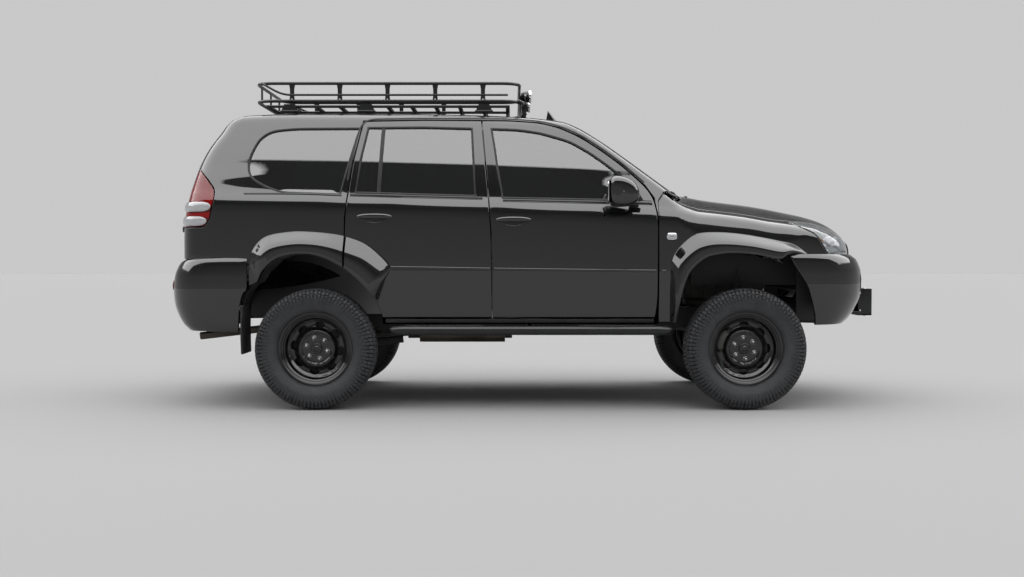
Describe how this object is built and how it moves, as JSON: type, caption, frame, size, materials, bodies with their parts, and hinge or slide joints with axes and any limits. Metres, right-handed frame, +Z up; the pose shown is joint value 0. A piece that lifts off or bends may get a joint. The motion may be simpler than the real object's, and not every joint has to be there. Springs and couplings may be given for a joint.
{
  "type": "off-road vehicle",
  "caption": "Lifted black five-door off-road estate with roof rack, steel wheels, flared arches, side steps and a front winch; doors, bonnet, steering and wheels move.",
  "frame": {"origin": "on the ground under the middle of the overall length and width, which is midway between the axles", "axes": "+X forward, +Y to the vehicle's left, +Z up"},
  "size_m": [4.84, 2.26, 2.17],
  "materials": {
    "black_plastic": "grained",
    "cast_metal": "dull",
    "clear_lamp": "clear lens over a bright reflector",
    "exhaust_steel": "dull, heat tinted",
    "frame_black": "matt chassis paint",
    "glass": "dark tinted",
    "interior_plastic": "soft grain",
    "paint": "gloss black clear-coated paint",
    "red_lamp": "red lens with two clear bands",
    "satin_black": "satin powder coat",
    "steel_rim": "gloss black painted steel",
    "tyre": "matt tread, satin sidewall",
    "upholstery": "dark woven cloth",
    "windscreen": "lightly tinted"
  },
  "bodies": {
    "body": {"body_shell": "paint", "floor_pan": "interior_plastic", "front_wing_left": "paint", "front_wing_right": "paint", "grille": "satin_black", "headlamp_left": "clear_lamp", "headlamp_right": "clear_lamp", "tail_lamp_left": "red_lamp", "tail_lamp_right": "red_lamp", "front_bumper": "paint", "rear_bumper": "paint", "winch": "satin_black", "windscreen": "windscreen", "glass_quarter_left": "glass", "glass_quarter_right": "glass", "chassis_frame": "frame_black", "rear_axle": "frame_black", "engine_block": "cast_metal", "driveline": "cast_metal", "front_suspension_left": "frame_black", "front_suspension_right": "frame_black", "fuel_tank": "black_plastic", "exhaust": "exhaust_steel", "spare_wheel": "tyre", "dashboard": "interior_plastic", "seat_front_left": "upholstery", "seat_front_right": "upholstery", "bench_rear": "upholstery", "side_step_left": "satin_black", "side_step_right": "satin_black", "mud_flap_left": "black_plastic", "mud_flap_right": "black_plastic", "roof_rack": "satin_black", "rack_lamps": "satin_black"},
    "door_front_left": {"door_front_left": "paint", "glass_front_left": "glass", "mirror_left": "paint"},
    "door_front_right": {"door_front_right": "paint", "glass_front_right": "glass", "mirror_right": "paint"},
    "door_rear_left": {"door_rear_left": "paint", "glass_rear_left": "glass"},
    "door_rear_right": {"door_rear_right": "paint", "glass_rear_right": "glass"},
    "rear_door": {"rear_door": "paint", "rear_door_glass": "glass"},
    "bonnet": {"bonnet": "paint"},
    "knuckle_left": {"knuckle_left": "cast_metal"},
    "knuckle_right": {"knuckle_right": "cast_metal"},
    "steering_rack": {"steering_rack": "cast_metal"},
    "steering_wheel": {"steering_wheel": "interior_plastic"},
    "wheel_front_left": {"rim_front_left": "steel_rim", "tyre_front_left": "tyre"},
    "wheel_front_right": {"rim_front_right": "steel_rim", "tyre_front_right": "tyre"},
    "wheel_rear_left": {"rim_rear_left": "steel_rim", "tyre_rear_left": "tyre"},
    "wheel_rear_right": {"rim_rear_right": "steel_rim", "tyre_rear_right": "tyre"}
  },
  "joints": [
    {"name": "door_front_left_hinge", "type": "hinge", "parent": "body", "child": "door_front_left", "pos_m": [0.823, 0.884, 1.1], "axis": [0, 0, -1], "range_deg": [0, 66]},
    {"name": "door_rear_left_hinge", "type": "hinge", "parent": "body", "child": "door_rear_left", "pos_m": [-0.252, 0.884, 1.1], "axis": [0, 0, -1], "range_deg": [0, 68]},
    {"name": "door_front_right_hinge", "type": "hinge", "parent": "body", "child": "door_front_right", "pos_m": [0.823, -0.884, 1.1], "axis": [0, 0, 1], "range_deg": [0, 66]},
    {"name": "door_rear_right_hinge", "type": "hinge", "parent": "body", "child": "door_rear_right", "pos_m": [-0.252, -0.884, 1.1], "axis": [0, 0, 1], "range_deg": [0, 68]},
    {"name": "rear_door_hinge", "type": "hinge", "parent": "body", "child": "rear_door", "pos_m": [-2.283, -0.717, 1.2], "axis": [0, 0, 1], "range_deg": [0, 88]},
    {"name": "bonnet_hinge", "type": "hinge", "parent": "body", "child": "bonnet", "pos_m": [0.965, 0, 1.42], "axis": [0, -1, 0], "range_deg": [0, 48]},
    {"name": "steer_left", "type": "hinge", "parent": "body", "child": "knuckle_left", "pos_m": [1.395, 0.69, 0.392], "axis": [0, 0, 1], "range_deg": [-32, 32]},
    {"name": "steer_right", "type": "hinge", "parent": "body", "child": "knuckle_right", "pos_m": [1.395, -0.69, 0.392], "axis": [0, 0, 1], "range_deg": [-32, 32]},
    {"name": "steering_rack_slide", "type": "slide", "parent": "body", "child": "steering_rack", "axis": [0, 1, 0], "range_m": [-0.085, 0.085]},
    {"name": "steering_wheel_turn", "type": "hinge", "parent": "body", "child": "steering_wheel", "pos_m": [0.395, 0.37, 1.1], "axis": [-0.9131, 0, 0.4078], "range_deg": [-512, 512]},
    {"name": "wheel_front_left_spin", "type": "hinge", "parent": "knuckle_left", "child": "wheel_front_left", "pos_m": [1.395, 0.8, 0.392], "axis": [0, 1, 0], "continuous": true},
    {"name": "wheel_front_right_spin", "type": "hinge", "parent": "knuckle_right", "child": "wheel_front_right", "pos_m": [1.395, -0.8, 0.392], "axis": [0, 1, 0], "continuous": true},
    {"name": "wheel_rear_left_spin", "type": "hinge", "parent": "body", "child": "wheel_rear_left", "pos_m": [-1.395, 0.8, 0.392], "axis": [0, 1, 0], "continuous": true},
    {"name": "wheel_rear_right_spin", "type": "hinge", "parent": "body", "child": "wheel_rear_right", "pos_m": [-1.395, -0.8, 0.392], "axis": [0, 1, 0], "continuous": true}
  ],
  "couplings": [
    {"joint": "steer_right", "follows": "steer_left", "ratio": 1},
    {"joint": "steering_rack_slide", "follows": "steer_left", "m_per_rad": -0.152},
    {"joint": "steering_wheel_turn", "follows": "steer_left", "ratio": 16}
  ]
}
